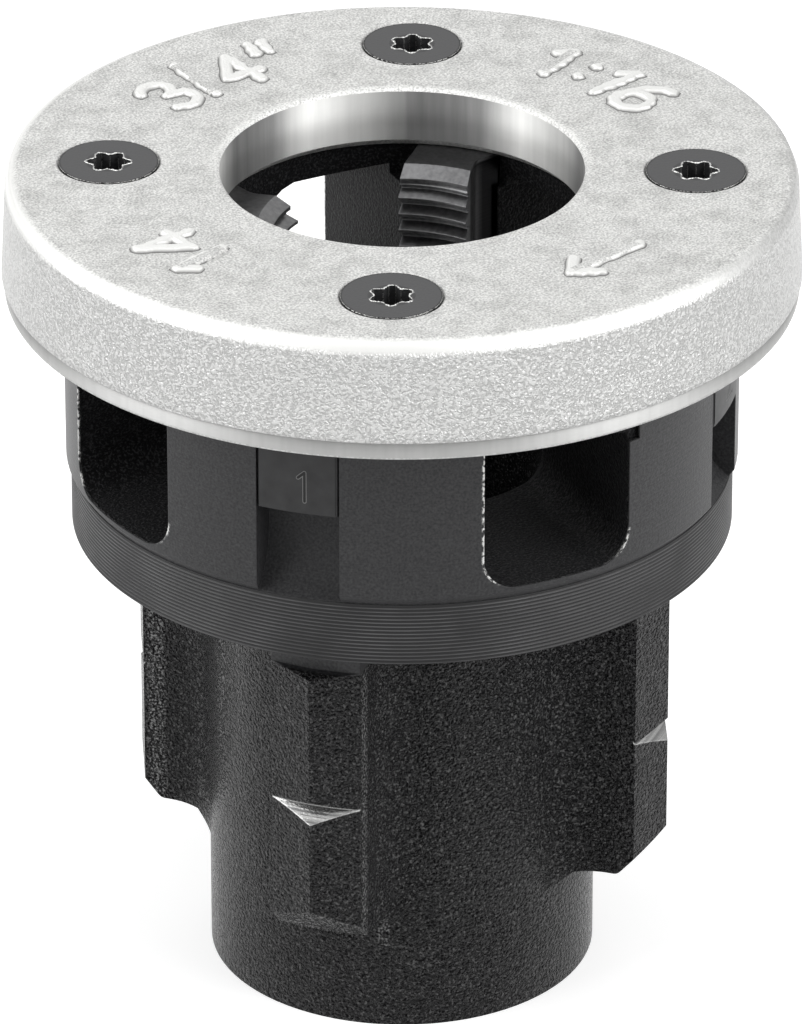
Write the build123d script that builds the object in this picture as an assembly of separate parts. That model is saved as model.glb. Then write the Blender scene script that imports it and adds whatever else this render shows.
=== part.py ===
from build123d import *
import os
from math import atan, degrees, hypot, pi, radians, sqrt, tan

# Quick-change die head for cutting a tapered 3/4 inch pipe thread.
# Four threading dies stand in milled slots of a cast head body, and a cast cover holds them
# down with four countersunk screws. A pipe enters from below, through the sleeve.
# All sizes are millimetres. The axis of the pipe is Z, the foot of the sleeve lies on Z = 0,
# and an azimuth is counted from -Y towards +X, counter-clockwise as seen from above.
# One pair of chip windows looks along -Y and +Y.

# Pipe and thread
pipe_od = 26.9
thread_pitch = 25.4 / 14
thread_depth = 0.64 * thread_pitch
flank_angle = 27.5
thread_taper = 1 / 16
crest_d_top = 24.2

# Head body: overall height and diameters
overall_height = 86.9
upper_d = 67.1
band_d = 65.9
sleeve_d = 39.1
guide_clearance = 0.6
band_bottom_z = 48.6
band_top_z = 55.2
band_step_height = 0.8
mouth_chamfer = 0.9

# Chamber round the dies, and the ring that closes it at the top
chamber_d = 34.0
floor_z = 56.4
floor_bevel = 1.3
ring_bore_d = 39.5
ring_height = 3.3
ledge_drop = 0.4

# Chip windows: two opposite pairs, the second pair cast a little out of square
window_a_width = 15.9
window_b_width = 17.0
window_b_azimuth = 95.2
window_round = 3.4
ceiling_angle = 22.0
corner_run = 5.9
corner_drop = 2.0
relief_margin = 1.25
relief_depth = 0.6
relief_bottom_z = 68.9

# Dies and the slots that hold them
first_die_azimuth = -45.0
die_count = 4
die_width = 8.2
die_height = 15.3
die_top_clearance = 0.1
slot_clearance = 0.1
pocket_depth = 4.1
pocket_radius = 6.8
pocket_exit_drop = 0.1
rake_offset = 3.0
rake_hollow = 0.5
rake_reach = 5.4
rake_corner = 2.4
top_lead_width = 2.2
top_lead_height = 1.0
top_land_rise = 0.75
top_land_height = 1.6
top_run_out = 2.4
bottom_lead_height = 3.6
bottom_lead_width = 1.5
relief_shift = 0.5
end_corner = 0.2
first_crest_height = 0.44

# Ribs that drive the head in its ratchet
rib_width = 9.2
rib_lag = 1.3
ridge_d = 56.4
shoulder_d = 52.4
rib_fillet = 6.5
rib_bottom_z = 13.3
rib_chamfer_angle = 50.0
rib_chamfer_height = 3.9
rib_corner = 0.9
rib_foot = 1.4
rib_sink = 0.05
neck_bottom_z = 43.9
neck_slope_height = 0.6
groove_root_z = 28.6
groove_drop = 1.5
groove_rise = 1.0

# Cover plate
cover_d = 79.2
cover_top_d = 78.2
cover_thickness = 6.4
cover_height = 12.3
cover_bore_d = 36.0
cover_edge = 1.3
lip_height = 1.8
lip_d = 78.6
skirt_clearance = 0.1
bore_top_break = 0.3
bore_bottom_chamfer = 0.8

# Raised bars of the cast marks on the cover, one in each quarter between two screws.
# Each has its azimuth from the quarter's middle, its lean from the radial direction and its length.
mark_height = 0.4
mark_width = 1.2
mark_edge = 0.2
mark_circle_d = 57.4
mark_bars = [(0.0, 90.0, 9.0), (13.8, 0.0, 6.2), (3.2, 14.0, 7.8), (4.6, 0.0, 6.2)]

# Cover screws: M5 countersunk with a six-lobe recess
screw_circle_d = 57.8
screw_lag = 15.6
screw_d = 5.0
screw_length = 16.0
head_d = 9.9
head_rim = 0.25
sink_clearance = 0.05
screw_hole_clearance = 0.5
thread_clearance = 0.1
hole_spare_depth = 2.0
recess_across = 4.5
recess_depth = 2.3
recess_waist = 3.4
lobe_width = 0.7

# Reach of a cutting shape past the surface that it cuts
spare = 1.0

# Sizes that follow from the ones above
cover_face_z = overall_height - mark_height
body_top_z = cover_face_z - cover_thickness
upper_r = upper_d / 2
band_r = band_d / 2
sleeve_r = sleeve_d / 2
guide_r = (pipe_od + guide_clearance) / 2
slot_floor_z = body_top_z - die_top_clearance - die_height
slot_width = die_width + 2 * slot_clearance
rib_core_r = sleeve_r - rib_sink
rib_start_z = rib_bottom_z - rib_foot
far = cover_d
die_azimuths = [first_die_azimuth + 360 / die_count * k for k in range(die_count)]


def turned(points):
    """Solid of revolution round Z of a closed outline of (radius, height) points."""
    outline = Polyline(*[(r, 0, z) for r, z in points], close=True)
    return revolve(make_face(outline), Axis.Z)


def at_azimuth(shape, azimuth):
    """Turns a shape drawn along +X, the outward direction, to an azimuth."""
    return Rot(0, 0, azimuth - 90) * shape


def body_blank():
    """The turned outside of the body: sleeve, grooved band, step and upper cylinder."""
    return turned([
        (0, 0),
        (sleeve_r, 0),
        (sleeve_r, band_bottom_z),
        (band_r, band_bottom_z),
        (band_r, band_top_z),
        (upper_r, band_top_z + band_step_height),
        (upper_r, body_top_z),
        (0, body_top_z),
    ])


def rib_plan():
    """Plan of the sleeve with its four ribs, each with parallel walls, a roof and wide fillets."""
    shoulder = shoulder_d / 2
    half = rib_width / 2
    plan = Circle(rib_core_r)
    for azimuth in die_azimuths:
        rib = make_face(Polyline(
            (0, -half), (shoulder, -half), (ridge_d / 2, 0), (shoulder, half), (0, half), close=True
        ))
        plan += Rot(0, 0, azimuth - rib_lag - 90) * rib
    roots = plan.vertices().filter_by(lambda v: abs(v.center().length - rib_core_r) < 0.01)
    return fillet(roots, rib_fillet)


def rib_envelope():
    """Turned envelope of the ribs: neck under the flange, locking groove, chamfer and foot."""
    tip_r = ridge_d / 2 + spare
    seat_r = hypot(shoulder_d / 2, rib_width / 2)
    ridge_r = ridge_d / 2
    chamfer_run = rib_chamfer_height / tan(radians(rib_chamfer_angle))
    chamfer_z = rib_bottom_z + rib_chamfer_height
    slope = rib_chamfer_height / chamfer_run
    rise = ridge_r - seat_r
    foot_r = rib_core_r + rib_foot
    outline = Polyline(
        (foot_r, rib_bottom_z),
        (ridge_r - chamfer_run, rib_bottom_z),
        (tip_r, chamfer_z + slope * (tip_r - ridge_r)),
        (tip_r, groove_root_z - groove_drop * (tip_r - seat_r) / rise),
        (seat_r, groove_root_z),
        (tip_r, groove_root_z + groove_rise * (tip_r - seat_r) / rise),
        (tip_r, neck_bottom_z - neck_slope_height * (tip_r - seat_r) / rise),
        (seat_r, neck_bottom_z),
        (seat_r, band_bottom_z),
        (0, band_bottom_z),
        (0, rib_start_z),
        (rib_core_r, rib_start_z),
        close=True,
    )
    face = make_face(Plane.XZ * outline)
    corner = face.vertices().sort_by_distance((ridge_r - chamfer_run, 0, rib_bottom_z))[0]
    return revolve(fillet(corner, rib_corner), Axis.Z)


def ribs():
    """The ribs on a core just inside the sleeve, so that their fillets run out in its surface."""
    block = Pos(0, 0, rib_start_z) * extrude(rib_plan(), band_bottom_z - rib_start_z)
    return block & rib_envelope()


def chamber():
    """Round chamber in which the dies stand, with a bevelled floor edge."""
    ceiling_z = body_top_z - ring_height
    return turned([
        (0, floor_z),
        (chamber_d / 2 - floor_bevel, floor_z),
        (chamber_d / 2, floor_z + floor_bevel),
        (chamber_d / 2, ceiling_z),
        (0, ceiling_z),
    ])


def window(width, slanted_corner):
    """One chip window along +X: level floor with rounded edges, and a top that falls outwards."""
    inner_x = chamber_d / 4
    outer_x = upper_r + spare
    fall = tan(radians(ceiling_angle))
    edge_z = body_top_z - ring_height
    side = make_face(Plane.XZ * Polyline(
        (inner_x, floor_z),
        (outer_x, floor_z),
        (outer_x, edge_z - fall * (outer_x - ring_bore_d / 2)),
        (inner_x, edge_z + fall * (ring_bore_d / 2 - inner_x)),
        close=True,
    ))
    passage = extrude(side, width / 2, both=True)
    floor_edges = passage.edges().filter_by(Axis.X).sort_by(Axis.Z)[:2]
    passage = fillet(floor_edges, window_round)
    if slanted_corner:
        wall = passage.faces().filter_by(Axis.Y).sort_by(Axis.Y)[-1]
        top_edge = wall.edges().sort_by(Axis.Z)[-1]
        passage = chamfer(top_edge, corner_drop, corner_run, reference=wall)
    return passage


def guide_bore():
    """Bore that guides the pipe through the sleeve, with a wide mouth into the chamber."""
    mouth_z = floor_z - 2 * mouth_chamfer
    mouth_cone = 3 * mouth_chamfer
    return turned([
        (0, -spare),
        (guide_r + mouth_chamfer + spare, -spare),
        (guide_r, mouth_chamfer),
        (guide_r, mouth_z),
        (guide_r + mouth_cone, mouth_z + mouth_cone),
        (0, mouth_z + mouth_cone),
    ])


def ring_bore():
    """Bore of the ring that closes the chamber at the top."""
    bottom_z = body_top_z - ring_height - ledge_drop
    height = body_top_z + spare - bottom_z
    return Pos(0, 0, bottom_z) * Cylinder(
        ring_bore_d / 2, height, align=(Align.CENTER, Align.CENTER, Align.MIN)
    )


def die_slot():
    """Slot for one die along +X, with the round-ended pocket below the die's outer end."""
    height = body_top_z + spare - slot_floor_z
    slot = Pos(far / 2, 0, slot_floor_z + height / 2) * Box(far, slot_width, height)
    back_u = upper_r - pocket_depth
    exit_z = band_top_z - pocket_exit_drop
    clear_r = upper_r + spare
    centre_z = exit_z + sqrt(pocket_radius ** 2 - (pocket_radius - (band_r - back_u)) ** 2)
    outline = Polyline(
        (clear_r, exit_z), (clear_r, slot_floor_z + spare), (back_u, slot_floor_z + spare),
        (back_u, centre_z),
    )
    sweep_end = RadiusArc((back_u, centre_z), (band_r, exit_z), -pocket_radius)
    way_out = Line((band_r, exit_z), (clear_r, exit_z))
    side = make_face(Plane.XZ * (outline + sweep_end + way_out))
    pocket = extrude(side, slot_width / 2, both=True)
    return slot + pocket


def window_relief():
    """Shallow unmachined patch in the outer surface, over the +Y end of a window along +X."""
    height = body_top_z + spare - relief_bottom_z
    span = window_a_width / 2 + relief_margin
    block = Box(far, span, height, align=(Align.MIN, Align.MIN, Align.MIN))
    core = Cylinder(upper_r - relief_depth, height, align=(Align.CENTER, Align.CENTER, Align.MIN))
    return Pos(0, 0, relief_bottom_z) * (block - core)


def screw_axes():
    """Places of the four cover screws, at the cover's face."""
    return [
        Rot(0, 0, azimuth + screw_lag - 90) * Pos(screw_circle_d / 2, 0, cover_face_z)
        for azimuth in die_azimuths
    ]


def head_body():
    """The cast and machined body."""
    body = body_blank() + ribs() - chamber()
    for side in (0, 180):
        body -= at_azimuth(window(window_a_width, True), side)
        body -= at_azimuth(window(window_b_width, False), window_b_azimuth + side)
    body -= guide_bore()
    body -= ring_bore()
    for azimuth in die_azimuths:
        body -= at_azimuth(die_slot(), azimuth)
    for side in (0, 180):
        body -= at_azimuth(window_relief(), side)
    depth = screw_length + hole_spare_depth
    hole = Cylinder(
        (screw_d + thread_clearance) / 2, depth, align=(Align.CENTER, Align.CENTER, Align.MAX)
    )
    for axis in screw_axes():
        body -= axis * hole
    return body


def countersink(top_d, length, shank_d):
    """Cone of 90 degrees under a face at Z = 0, with its hole or shank below."""
    cone_height = (top_d - shank_d) / 2
    return turned([
        (0, 0), (top_d / 2, 0), (shank_d / 2, -cone_height), (shank_d / 2, -length), (0, -length),
    ])


def cast_mark(quarter):
    """Raised bar of the mark in one quarter of the cover, with its edges broken."""
    azimuth_shift, lean, length = mark_bars[quarter]
    middle = die_azimuths[quarter] + screw_lag + 180 / die_count
    bar = Box(length, mark_width, 2 * mark_height)
    bar = chamfer(bar.faces().sort_by(Axis.Z)[-1].edges(), mark_edge)
    place = Rot(0, 0, middle + azimuth_shift - 90) * Pos(mark_circle_d / 2, 0, cover_face_z)
    return place * Rot(0, 0, -lean) * bar


def cover_plate():
    """Cast cover: a plate with a skirt that closes the slots, a machined lip and a bore."""
    skirt_r = upper_r + skirt_clearance
    bottom_z = cover_face_z - cover_height
    bore_r = cover_bore_d / 2
    flat = cover_edge * (1 - sqrt(0.5))
    outline = make_face(Plane.XZ * Polyline(
        (bore_r, cover_face_z - bore_top_break),
        (bore_r + bore_top_break, cover_face_z),
        (cover_top_d / 2 - cover_edge, cover_face_z),
        (cover_top_d / 2 - flat, cover_face_z - flat),
        (cover_top_d / 2, cover_face_z - cover_edge),
        (cover_d / 2, bottom_z + lip_height),
        (lip_d / 2, bottom_z + lip_height),
        (lip_d / 2, bottom_z),
        (skirt_r, bottom_z),
        (skirt_r, body_top_z),
        (bore_r + bore_bottom_chamfer, body_top_z),
        (bore_r, body_top_z + bore_bottom_chamfer),
        close=True,
    ))
    cover = revolve(outline, Axis.Z)
    hole_d = screw_d + screw_hole_clearance
    sink_d = head_d + 2 * (head_rim + sink_clearance)
    for axis in screw_axes():
        cover -= axis * countersink(sink_d, cover_thickness + spare, hole_d)
    for quarter in range(die_count):
        cover += cast_mark(quarter)
    return cover


def thread_form(phase_z):
    """Space inside the teeth: a ribbed core whose ridges are the thread spaces between teeth."""
    bottom_z = slot_floor_z - thread_pitch
    top_z = slot_floor_z + die_height + thread_pitch
    flank = thread_depth * tan(radians(flank_angle))
    flat = (thread_pitch - 2 * flank) / 2
    crest_top = crest_d_top / 2
    outline = [(0, bottom_z - 3 * thread_pitch)]
    first = int((bottom_z - phase_z) // thread_pitch) - 1
    last = int((top_z - phase_z) // thread_pitch) + 2
    for turn in range(first, last):
        crest_z = phase_z + turn * thread_pitch
        for dz, depth in ((-flat / 2, 0), (flat / 2, 0), (flat / 2 + flank, 1), (1.5 * flat + flank, 1)):
            z = crest_z + dz
            crest = crest_top + (slot_floor_z + die_height - z) * thread_taper / 2
            outline.append((crest + depth * thread_depth, z))
    outline.append((0, outline[-1][1]))
    return turned(outline)


def lead_cones():
    """Spaces that take the teeth back: chamfer and land at the top, long lead for the pipe below."""
    top_z = slot_floor_z + die_height
    crest = crest_d_top / 2
    land_r = crest + top_land_rise
    slope = (top_lead_width - top_land_rise) / top_lead_height
    top = turned([
        (0, top_z - top_run_out),
        (crest, top_z - top_run_out),
        (land_r, top_z - top_land_height),
        (land_r, top_z - top_lead_height),
        (crest + top_lead_width + slope * spare, top_z + spare),
        (0, top_z + spare),
    ])
    bottom_crest = crest + die_height * thread_taper / 2
    slope = bottom_lead_width / bottom_lead_height
    bottom = turned([
        (0, slot_floor_z - spare),
        (bottom_crest + bottom_lead_width + slope * spare, slot_floor_z - spare),
        (bottom_crest, slot_floor_z + bottom_lead_height),
        (0, slot_floor_z + bottom_lead_height),
    ])
    return top + bottom


def die_plan():
    """Plan of a die along +X: straight heel side, and a hollow-ground rake face at -Y."""
    half = die_width / 2
    inner_u = crest_d_top / 2 - spare
    corner_u = inner_u + rake_reach
    rake_t = -rake_offset + rake_hollow
    past_u = inner_u - spare
    past_t = -half - spare
    blank = make_face(Polyline(
        (inner_u, -half), (far / 2, -half), (far / 2, half), (inner_u, half), close=True
    ))
    grind = make_face(Polyline(
        (past_u, past_t), (past_u, -rake_offset), (inner_u, -rake_offset),
        (corner_u, rake_t), (corner_u + rake_corner, -half), (corner_u + rake_corner, past_t),
        close=True,
    ))
    bend = grind.vertices().sort_by_distance((corner_u, rake_t, 0))[0]
    return blank - fillet(bend, rake_corner)


def die(index):
    """One threading die, with its teeth a quarter pitch on from its neighbour's."""
    height = die_height
    azimuth = die_azimuths[index]
    block = Pos(0, 0, slot_floor_z) * extrude(die_plan(), height)
    end = Cylinder(upper_r, height, align=(Align.CENTER, Align.CENTER, Align.MIN))
    block &= Pos(0, 0, slot_floor_z) * end
    outer_edges = block.edges().filter_by(Axis.Z).sort_by(Axis.X)[-2:]
    block = chamfer(outer_edges, end_corner)
    phase_z = slot_floor_z + first_crest_height + thread_pitch * index / die_count
    helix = degrees(atan(thread_pitch / (pi * (crest_d_top + thread_depth))))
    tool = Pos(0, relief_shift, slot_floor_z) * Rot(helix, 0, 0) * Pos(0, 0, -slot_floor_z)
    block -= tool * thread_form(phase_z)
    block -= lead_cones()
    return at_azimuth(block, azimuth)


def recess():
    """Six-lobe driving recess, from Z = 0 down: blunt lobes on a hexagon's corners."""
    lobes = [Rot(0, 0, 60 * k) for k in range(6)]
    outline = []
    for turn in lobes:
        outline.append(turn * Pos(recess_across / 2, -lobe_width / 2))
        outline.append(turn * Pos(recess_across / 2, lobe_width / 2))
        outline.append(turn * Rot(0, 0, 30) * Pos(recess_waist / 2, 0))
    plan = make_face(Polyline(*[place.position for place in outline], close=True))
    return Pos(0, 0, -recess_depth) * extrude(plan, recess_depth + spare)


def cover_screw():
    """Countersunk screw, its head face at Z = 0."""
    cone_height = (head_d - screw_d) / 2
    blank = turned([
        (0, 0), (head_d / 2, 0), (head_d / 2, -head_rim), (screw_d / 2, -head_rim - cone_height),
        (screw_d / 2, -screw_length), (0, -screw_length),
    ])
    return blank - recess()


def build():
    """All nodes by name, each one solid."""
    nodes = {"head_body": head_body(), "cover_plate": cover_plate()}
    for index in range(die_count):
        nodes[f"die_{index + 1}"] = die(index)
    for number, axis in enumerate(screw_axes(), start=1):
        nodes[f"cover_screw_{number}"] = axis * cover_screw()
    return nodes


os.makedirs("parts", exist_ok=True)
for name, shape in build().items():
    export_step(shape, f"parts/{name}.step")
    print(name, len(shape.solids()), "solid", round(shape.volume, 1), "mm3")
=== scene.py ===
# %% Load the frame
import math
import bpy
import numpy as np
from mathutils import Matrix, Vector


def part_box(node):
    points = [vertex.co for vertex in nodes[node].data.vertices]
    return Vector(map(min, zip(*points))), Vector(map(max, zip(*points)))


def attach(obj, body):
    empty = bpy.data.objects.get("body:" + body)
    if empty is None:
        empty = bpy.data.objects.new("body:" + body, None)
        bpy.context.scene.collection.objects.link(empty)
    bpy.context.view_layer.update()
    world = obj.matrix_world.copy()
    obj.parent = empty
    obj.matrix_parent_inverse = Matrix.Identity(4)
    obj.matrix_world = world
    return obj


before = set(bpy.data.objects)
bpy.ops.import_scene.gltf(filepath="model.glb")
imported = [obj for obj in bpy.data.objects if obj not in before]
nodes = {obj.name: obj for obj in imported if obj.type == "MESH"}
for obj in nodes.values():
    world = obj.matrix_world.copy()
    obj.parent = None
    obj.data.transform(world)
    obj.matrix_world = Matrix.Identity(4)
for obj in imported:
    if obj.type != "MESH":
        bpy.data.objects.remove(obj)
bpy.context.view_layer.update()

# %% [markdown]
# # A pipe threading die head
#
# The object is a steel and cast iron tool head that cuts a tapered thread on a 3/4 inch pipe.
# Its solids come ready made: a blackened body with chip windows, a pale cast cover, four cutting
# dies and four countersunk screws. What is left for Blender is what the eye reads as real:
# the skin of the castings, the fine turned grooves, the cast numbers, and soft studio light.
#
# Every length in Blender is in metres, because the solids are. One millimetre is `mm`.

mm = 0.001

# %% [markdown]
# ## Camera
#
# The photograph was taken with a long lens from 27.5 degrees above the horizon. A long lens from about
# 0.9 m keeps the near and far rims of the cover almost parallel. The camera is placed from the sizes of
# the three circles that the photograph shows: cover, flange and sleeve.

# %% Camera
scene = bpy.context.scene
view_azimuth = math.radians(-27.4)
view_tilt = math.radians(62.48)
camera_place = np.array([-375.0, -723.4, 472.64]) * mm
side_step = -0.081 * mm

camera_data = bpy.data.cameras.new("camera")
camera_data.sensor_fit = "VERTICAL"
camera_data.sensor_height = 36
camera_data.sensor_width = 36
camera_data.lens = 322.07
camera_data.clip_end = 20
camera = bpy.data.objects.new("camera", camera_data)
scene.collection.objects.link(camera)
sideways = np.array([math.cos(view_azimuth), math.sin(view_azimuth), 0])
camera.location = camera_place + side_step * sideways
camera.rotation_euler = (view_tilt, 0, view_azimuth)
scene.camera = camera
scene.view_settings.view_transform = "Standard"
print("camera", [round(v, 4) for v in camera.location], "lens", camera_data.lens)

# %% [markdown]
# ## Colours and shader nodes
#
# A colour picked on a screen is an sRGB code, while a shader works with linear light, so one
# function converts it. A second function adds one shader node, sets its options and fills its
# inputs, with numbers, colour codes or other nodes. A Mix node has an A for numbers and another
# for colours and switches one off, so names are looked up among the sockets that are switched on.

# %% Colour and node helpers
def colour(code):
    """Linear RGBA of an sRGB code such as "8a8a8a": each channel goes through the sRGB curve."""
    values = [int(code[i:i + 2], 16) / 255 for i in (0, 2, 4)]
    linear = [v / 12.92 if v <= 0.04045 else ((v + 0.055) / 1.055) ** 2.4 for v in values]
    return (*linear, 1.0)


def add(tree, kind, inputs, **settings):
    """Adds a shader node with its settings. Each input, by name or number, takes a value or a node.

    A text value is an sRGB code. A node is linked from its first output that is switched on, and
    a particular output of a node can be given instead of the node.
    """
    node = tree.nodes.new("ShaderNode" + kind)
    for name, value in settings.items():
        setattr(node, name, value)
    named = {socket.name: socket for socket in node.inputs if socket.enabled}
    for key, value in inputs.items():
        target = named[key] if isinstance(key, str) else node.inputs[key]
        if isinstance(value, bpy.types.Node):
            value = next(socket for socket in value.outputs if socket.enabled)
        if isinstance(value, bpy.types.NodeSocket):
            tree.links.new(value, target)
        else:
            target.default_value = colour(value) if isinstance(value, str) else value
    return node


def new_material(name):
    """An empty node material and its node tree."""
    material = bpy.data.materials.new(name)
    material.use_nodes = True
    material.node_tree.nodes.clear()
    return material, material.node_tree


def give_surface(tree, inputs):
    """The Principled shader with these inputs, linked to the output of its material."""
    add(tree, "OutputMaterial", {"Surface": add(tree, "BsdfPrincipled", inputs)})


print("the black of the casting in linear light is", round(colour("1e1e1f")[0], 4))

# %% [markdown]
# ## Light
#
# The photograph is a catalogue picture: a white ground, broad soft light and hardly any shadow.
# The world is white where the camera, a reflection or a clear surface sees it, and dimmer where
# it lights matt surfaces, so that pale metal keeps its grain. The Light Path node tells those
# rays apart, and the floor will use the same test.

# %% World
def seen_directly(tree):
    """1 for camera, glossy and transmission rays, which should find a white ground; 0 for others."""
    path = add(tree, "LightPath", {}).outputs
    seen = add(tree, "Math", {0: path["Is Camera Ray"], 1: path["Is Glossy Ray"]}, operation="MAXIMUM")
    return add(tree, "Math", {0: seen, 1: path["Is Transmission Ray"]}, operation="MAXIMUM")


matt_light, white = 0.45, 1.0
world = bpy.data.worlds.new("white tent")
scene.world = world
world.use_nodes = True
tree = world.node_tree
tree.nodes.clear()
strength = add(tree, "MapRange", {"Value": seen_directly(tree), "To Min": matt_light, "To Max": white})
background = add(tree, "Background", {"Color": "ffffff", "Strength": strength})
add(tree, "OutputWorld", {"Surface": background})
print("world strength", matt_light, "for matt surfaces and", white, "for the eye")

# %% [markdown]
# A round body shows where its lamps stand: two bright bands run down the black cylinder, one at
# 32 degrees right of the middle and one at 37 degrees left. A mirror doubles the angle, so the
# lamps stand at 64 and 74 degrees. Both are wide, so that their glare on the flat top stays soft
# when it is seen from the far side. A weak lamp above evens out the top of the cover, and another
# behind lights its far half.

# %% Lamps
head_middle = np.array([0, 0, 0.05])


def soft_lamp(name, turn, distance, height, size, power):
    """A square lamp aimed at the middle of the head, turn degrees to the right of the camera."""
    data = bpy.data.lights.new(name, "AREA")
    data.shape = "SQUARE"
    data.size = size
    data.energy = power
    lamp = bpy.data.objects.new(name, data)
    scene.collection.objects.link(lamp)
    angle = view_azimuth + math.radians(turn)
    place = np.array([distance * math.sin(angle), -distance * math.cos(angle), height])
    lamp.location = place
    aim = head_middle - place
    flat = math.hypot(aim[0], aim[1])
    lamp.rotation_euler = (math.atan2(flat, -aim[2]), 0, math.atan2(aim[1], aim[0]) - math.pi / 2)


soft_lamp("lamp_top", turn=-25, distance=0.12, height=1.05, size=0.4, power=0.55)
soft_lamp("lamp_back", turn=205, distance=0.70, height=0.75, size=0.5, power=0.9)
soft_lamp("lamp_left", turn=-74, distance=0.9, height=0.50, size=0.75, power=6.6)
soft_lamp("lamp_right", turn=64, distance=0.9, height=0.50, size=0.75, power=7.4)

# %% [markdown]
# ## Floor
#
# The head stands on white paper. Paper lit by soft light is a little grey, so for the camera and
# for reflections it glows by the missing part, and still takes the shadow round the foot.

# %% Floor
floor_half = 3.0
floor_mesh = bpy.data.meshes.new("floor")
floor_mesh.from_pydata(
    [(-floor_half, -floor_half, 0), (floor_half, -floor_half, 0),
     (floor_half, floor_half, 0), (-floor_half, floor_half, 0)], [], [(0, 1, 2, 3)])
floor = bpy.data.objects.new("floor", floor_mesh)
scene.collection.objects.link(floor)

paper_finish, tree = new_material("white_paper_floor")
paper = add(tree, "BsdfDiffuse", {"Color": "e6e6e6"})
glow = add(tree, "Emission", {"Color": "ffffff", "Strength": 0.5})
glowing_paper = add(tree, "AddShader", {0: paper, 1: glow})
surface = add(tree, "MixShader", {0: seen_directly(tree), 1: paper, 2: glowing_paper})
add(tree, "OutputMaterial", {"Surface": surface})
floor_mesh.materials.append(paper_finish)
print("floor", 2 * floor_half, "m wide")

# %% [markdown]
# ## Places on the head
#
# Most finishes depend on where a point lies: the lathe touched the upper cylinder but not the
# sleeve. The axis of the head is Z, so the distance from the axis and the height say enough.
# Every solid sits at the origin with its place in its mesh, so Object coordinates are the real
# position in metres and a pattern runs on from one piece to the next. A mask is a number that is
# 1 on the places that are meant and 0 elsewhere. The product of two masks is 1 where both are,
# and the larger of two is 1 where either is.

# %% Position and masks
mask_edge = 0.05 * mm


def place_on_head(tree):
    """Position in metres, distance from the axis, and height."""
    position = add(tree, "TexCoord", {}).outputs["Object"]
    flat = add(tree, "VectorMath", {0: position, 1: (1, 1, 0)}, operation="MULTIPLY")
    radius = add(tree, "VectorMath", {0: flat}, operation="LENGTH")
    height = add(tree, "SeparateXYZ", {0: position}).outputs["Z"]
    return position, radius, height


def between(tree, value, low, high, soft=mask_edge):
    """1 where value lies between low and high, 0 outside, with edges as soft as given."""
    rise = add(tree, "MapRange", {"Value": value, "From Min": low - soft, "From Max": low + soft})
    fall = add(tree, "MapRange", {"Value": value, "From Min": high - soft, "From Max": high + soft,
                                  "To Min": 1.0, "To Max": 0.0})
    return add(tree, "Math", {0: rise, 1: fall}, operation="MULTIPLY")


def zone(tree, *spans):
    """1 where every value lies in its span (value, low, high, soft): the product of the masks."""
    mask = between(tree, *spans[0])
    for span in spans[1:]:
        mask = add(tree, "Math", {0: mask, 1: between(tree, *span)}, operation="MULTIPLY")
    return mask


print("a mask fades over", 2 * mask_edge / mm, "mm at its edges")

# %% [markdown]
# ## Black finish of the body
#
# The body is an iron casting with a black oxide skin, near black and satin. Where a lathe or a
# cutter went over it, it has fine lines round the axis; elsewhere it keeps the pebbled skin of the
# mould. The first step is a set of masks: a distance from the axis and a height say which place
# on the casting a point belongs to, and the fold `across_slots` finds the pockets of the dies.

# %% Body material: which face is machined
def across_slots(tree, position):
    """Distance from the middle plane of the nearest die slot: ||x| - |y|| / sqrt(2)."""
    size = add(tree, "SeparateXYZ", {0: add(tree, "VectorMath", {0: position}, operation="ABSOLUTE")})
    step = add(tree, "Math", {0: size.outputs["X"], 1: size.outputs["Y"]}, operation="SUBTRACT")
    step = add(tree, "Math", {0: step}, operation="ABSOLUTE")
    return add(tree, "Math", {0: step, 1: 0.5 ** 0.5}, operation="MULTIPLY")


past_body = 40 * mm
turned_radius = 33.35 * mm
flange_radius, flange_low, flange_high = 32.85 * mm, 48.5 * mm, 56.2 * mm
neck_radius, neck_low, neck_high = 20.5 * mm, 43.7 * mm, 48.65 * mm
pocket_radius, pocket_half = 28.0 * mm, 4.7 * mm
chamber_radius, chamber_low, chamber_high = 33.2 * mm, 54.9 * mm, 80 * mm

body_finish, tree = new_material("blackened_cast_iron")
position, radius, height = place_on_head(tree)
off_middle = across_slots(tree, position)
outside = between(tree, radius, turned_radius, past_body)
flange = zone(tree, (radius, flange_radius, past_body), (height, flange_low, flange_high))
neck = zone(tree, (radius, neck_radius, past_body), (height, neck_low, neck_high))
pocket = zone(tree, (radius, pocket_radius, past_body), (height, chamber_low, chamber_high),
              (off_middle, -mm, pocket_half))
chamber = zone(tree, (radius, 0, chamber_radius), (height, chamber_low, chamber_high))
turned = add(tree, "Math", {0: outside, 1: flange}, operation="MAXIMUM")
milled = add(tree, "Math", {0: neck, 1: pocket}, operation="MAXIMUM")
smooth = add(tree, "Math", {0: turned, 1: milled}, operation="MAXIMUM")
print(body_finish.name, len(tree.nodes), "nodes for the masks")

# %% [markdown]
# Height in millimetres goes into one Bump node, so pebbles and tool lines stay true to size. The
# pebbles are a third of a millimetre across, and lower inside the chamber, where oil fills the
# valleys. Pebbles come from noise pushed towards flat tops and narrow valleys, and tool lines
# from noise drawn out round the axis.

# %% Body material: height of the skin
def patches(tree, position, size, low, high, detail=2.0):
    """Noise with lumps one size across, in metres, drawn out to 0 below low and 1 above high."""
    noise = add(tree, "TexNoise", {"Vector": position, "Scale": 1 / size, "Detail": detail})
    return add(tree, "MapRange", {"Value": noise, "From Min": low, "From Max": high})


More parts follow.
